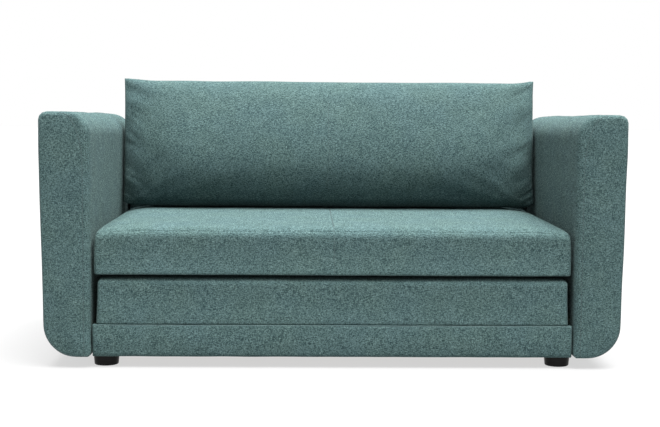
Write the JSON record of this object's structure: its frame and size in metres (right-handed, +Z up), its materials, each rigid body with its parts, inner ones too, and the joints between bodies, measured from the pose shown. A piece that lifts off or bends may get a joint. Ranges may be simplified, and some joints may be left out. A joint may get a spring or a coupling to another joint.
{
  "type": "sofa bed",
  "caption": "Compact two-seat sofa bed with slab arms, a fold-over seat block on a pull-out base, a loose back cushion and short round feet.",
  "frame": {"origin": "on the floor, in the middle of the sofa's width and depth", "axes": "+Z up, the front faces -Y, +X towards the viewer's right when facing the front"},
  "size_m": [1.5914, 0.87, 0.786],
  "materials": {
    "sofa_fabric": "matte",
    "foam": "matte",
    "frame_wood": "matte",
    "webbing": "matte",
    "foot_black": "satin",
    "steel": "satin",
    "zinc_screws": "satin",
    "black_plastic": "matte",
    "zip_metal": "satin"
  },
  "bodies": {
    "carcass": {"arm_bolts": "zinc_screws", "arm_cover_left": "sofa_fabric", "arm_cover_right": "sofa_fabric", "arm_nuts": "zinc_screws", "arm_panels_left": "frame_wood", "arm_panels_right": "frame_wood", "arm_posts_left": "frame_wood", "arm_posts_right": "frame_wood", "arm_rails_left": "frame_wood", "arm_rails_right": "frame_wood", "back_brackets": "steel", "back_cover": "sofa_fabric", "back_panel": "frame_wood", "back_posts": "frame_wood", "back_rails": "frame_wood", "back_webbing": "webbing", "corner_blocks": "frame_wood", "foot_bolts": "zinc_screws", "foot_front_left": "foot_black", "foot_front_right": "foot_black", "foot_rear_left": "foot_black", "foot_rear_right": "foot_black", "rear_rail": "frame_wood", "side_rail_left": "frame_wood", "side_rail_right": "frame_wood", "support_batten_left": "frame_wood", "support_batten_right": "frame_wood"},
    "carriage": {"front_rail_cover": "sofa_fabric", "front_rail_board": "frame_wood", "carriage_side_left": "frame_wood", "carriage_side_right": "frame_wood", "carriage_rear_board": "frame_wood", "hinge_board": "frame_wood", "carriage_centre_beam": "frame_wood", "carriage_slats": "frame_wood", "guide_blocks": "black_plastic", "lower_cushion_cover": "sofa_fabric", "lower_cushion_foam": "foam", "caster_forks": "steel", "caster_axles": "steel", "caster_blocks": "frame_wood", "hinge_leaves_lower": "steel", "hinge_pins": "steel", "hinge_screws_lower": "zinc_screws"},
    "seat": {"seat_cover": "sofa_fabric", "seat_foam_upper": "foam", "seat_foam_lower": "foam", "seat_frame_rails": "frame_wood", "seat_frame_ribs": "frame_wood", "hinge_leaves_upper": "steel", "hinge_screws_upper": "zinc_screws"},
    "back_cushion": {"back_cushion_cover": "sofa_fabric", "back_cushion_fill": "foam", "zip_tape": "webbing"},
    "zip_slider": {"zip_slider": "zip_metal"},
    "caster_wheel_front_left": {"caster_wheel_front_left": "black_plastic"},
    "caster_wheel_front_right": {"caster_wheel_front_right": "black_plastic"},
    "caster_wheel_rear_left": {"caster_wheel_rear_left": "black_plastic"},
    "caster_wheel_rear_right": {"caster_wheel_rear_right": "black_plastic"}
  },
  "joints": [
    {"name": "pull_out", "type": "slide", "parent": "carcass", "child": "carriage", "axis": [0, -1, 0], "range_m": [0, 1.13]},
    {"name": "seat_flip", "type": "hinge", "parent": "carriage", "child": "seat", "pos_m": [0, 0.324, 0.2495], "axis": [-1, 0, 0], "range_deg": [0, 180]},
    {"name": "cushion_lift", "type": "slide", "parent": "carcass", "child": "back_cushion", "axis": [0, 0, 1], "range_m": [0, 0.8]},
    {"name": "zip_slide", "type": "slide", "parent": "back_cushion", "child": "zip_slider", "axis": [-1, 0, 0], "range_m": [0, 1.06]},
    {"name": "wheel_spin_front_left", "type": "hinge", "parent": "carriage", "child": "caster_wheel_front_left", "pos_m": [-0.524, -0.23, 0.025], "axis": [1, 0, 0], "continuous": true},
    {"name": "wheel_spin_front_right", "type": "hinge", "parent": "carriage", "child": "caster_wheel_front_right", "pos_m": [0.524, -0.23, 0.025], "axis": [1, 0, 0], "continuous": true},
    {"name": "wheel_spin_rear_left", "type": "hinge", "parent": "carriage", "child": "caster_wheel_rear_left", "pos_m": [-0.524, 0.23, 0.025], "axis": [1, 0, 0], "continuous": true},
    {"name": "wheel_spin_rear_right", "type": "hinge", "parent": "carriage", "child": "caster_wheel_rear_right", "pos_m": [0.524, 0.23, 0.025], "axis": [1, 0, 0], "continuous": true}
  ],
  "couplings": [
    {"joint": "seat_flip", "follows": "pull_out", "rad_per_m": 2.78},
    {"joint": "cushion_lift", "follows": "pull_out", "ratio": 0.7},
    {"joint": "wheel_spin_front_left", "follows": "pull_out", "rad_per_m": 40},
    {"joint": "wheel_spin_front_right", "follows": "pull_out", "rad_per_m": 40},
    {"joint": "wheel_spin_rear_left", "follows": "pull_out", "rad_per_m": 40},
    {"joint": "wheel_spin_rear_right", "follows": "pull_out", "rad_per_m": 40}
  ]
}
